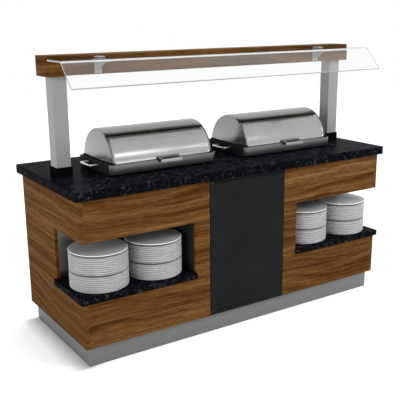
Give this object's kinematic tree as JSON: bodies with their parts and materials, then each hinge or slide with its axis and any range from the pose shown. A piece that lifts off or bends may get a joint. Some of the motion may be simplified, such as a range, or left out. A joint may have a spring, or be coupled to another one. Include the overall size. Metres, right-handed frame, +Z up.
{
  "type": "chafing dish station",
  "caption": "Buffet counter with granite top, wood panels, open corner niches holding plates, roll-top chafing dishes and a canopy beam with a bent glass guard.",
  "frame": {"origin": "middle of the footprint, on the floor", "axes": "+X along the counter to the right as seen from the front, +Y to the back, +Z up"},
  "size_m": [2, 0.8, 1.494],
  "materials": {
    "granite": "polished, speckled",
    "wood_panel": "satin wood-grain laminate",
    "plinth_grey": "satin grey facing",
    "board": "raw board",
    "niche_lining": "matt dark lining",
    "door_black": "matt black facing",
    "fitting_steel": "satin",
    "catch_plastic": "moulded",
    "post_satin": "satin",
    "collar_black": "moulded",
    "clear_glass": "clear, polished edges",
    "rubber": "moulded",
    "polished_steel": "polished stainless steel",
    "pan_steel": "satin stainless steel",
    "heater_metal": "plain",
    "white_china": "white glaze"
  },
  "bodies": {
    "station": {"back_panel": "wood_panel", "base_board": "board", "canopy_beam": "wood_panel", "canopy_floor": "board", "chafer_feet": "rubber", "counter_board": "board", "counter_top": "granite", "cover_pivots": "fitting_steel", "door_catch": "catch_plastic", "door_pivots": "fitting_steel", "door_rails": "door_black", "glass_guard": "clear_glass", "glass_pads": "rubber", "left_chafer_base": "polished_steel", "left_end_panel": "wood_panel", "left_food_pan": "pan_steel", "left_front_panel": "wood_panel", "left_glass_bracket": "fitting_steel", "left_heater_plate": "heater_metal", "left_hood": "polished_steel", "left_hood_gasket": "rubber", "left_niche_back": "niche_lining", "left_niche_ceiling": "niche_lining", "left_niche_shelf": "granite", "left_partition": "niche_lining", "left_post": "post_satin", "plinth_frame": "plinth_grey", "post_bearers": "board", "post_collars": "collar_black", "right_chafer_base": "polished_steel", "right_end_panel": "wood_panel", "right_food_pan": "pan_steel", "right_front_panel": "wood_panel", "right_glass_bracket": "fitting_steel", "right_heater_plate": "heater_metal", "right_hood": "polished_steel", "right_hood_gasket": "rubber", "right_niche_back": "niche_lining", "right_niche_ceiling": "niche_lining", "right_niche_shelf": "granite", "right_partition": "niche_lining", "right_post": "post_satin", "shelf_battens": "board"},
    "left_cover": {"left_roll_cover": "polished_steel", "left_cover_handle": "polished_steel"},
    "right_cover": {"right_roll_cover": "polished_steel", "right_cover_handle": "polished_steel"},
    "door_leaf": {"door": "door_black"},
    "left_outer_stack": {"left_outer_plates": "white_china"},
    "left_inner_stack": {"left_inner_plates": "white_china"},
    "right_inner_stack": {"right_inner_plates": "white_china"},
    "right_outer_stack": {"right_outer_plates": "white_china"}
  },
  "joints": [
    {"name": "left_cover_roll", "type": "hinge", "parent": "station", "child": "left_cover", "pos_m": [-0.404, -0.01, 0.94], "axis": [-1, 0, 0], "range_deg": [0, 48]},
    {"name": "right_cover_roll", "type": "hinge", "parent": "station", "child": "right_cover", "pos_m": [0.424, -0.01, 0.94], "axis": [-1, 0, 0], "range_deg": [0, 48]},
    {"name": "door_swing", "type": "hinge", "parent": "station", "child": "door_leaf", "pos_m": [-0.233, -0.366, 0.48], "axis": [0, 0, -1], "range_deg": [0, 95]},
    {"name": "left_outer_slide", "type": "slide", "parent": "station", "child": "left_outer_stack", "axis": [0, -1, 0], "range_m": [0, 0.35]},
    {"name": "left_inner_slide", "type": "slide", "parent": "station", "child": "left_inner_stack", "axis": [0, -1, 0], "range_m": [0, 0.35]},
    {"name": "right_inner_slide", "type": "slide", "parent": "station", "child": "right_inner_stack", "axis": [0, -1, 0], "range_m": [0, 0.35]},
    {"name": "right_outer_slide", "type": "slide", "parent": "station", "child": "right_outer_stack", "axis": [0, -1, 0], "range_m": [0, 0.35]}
  ]
}
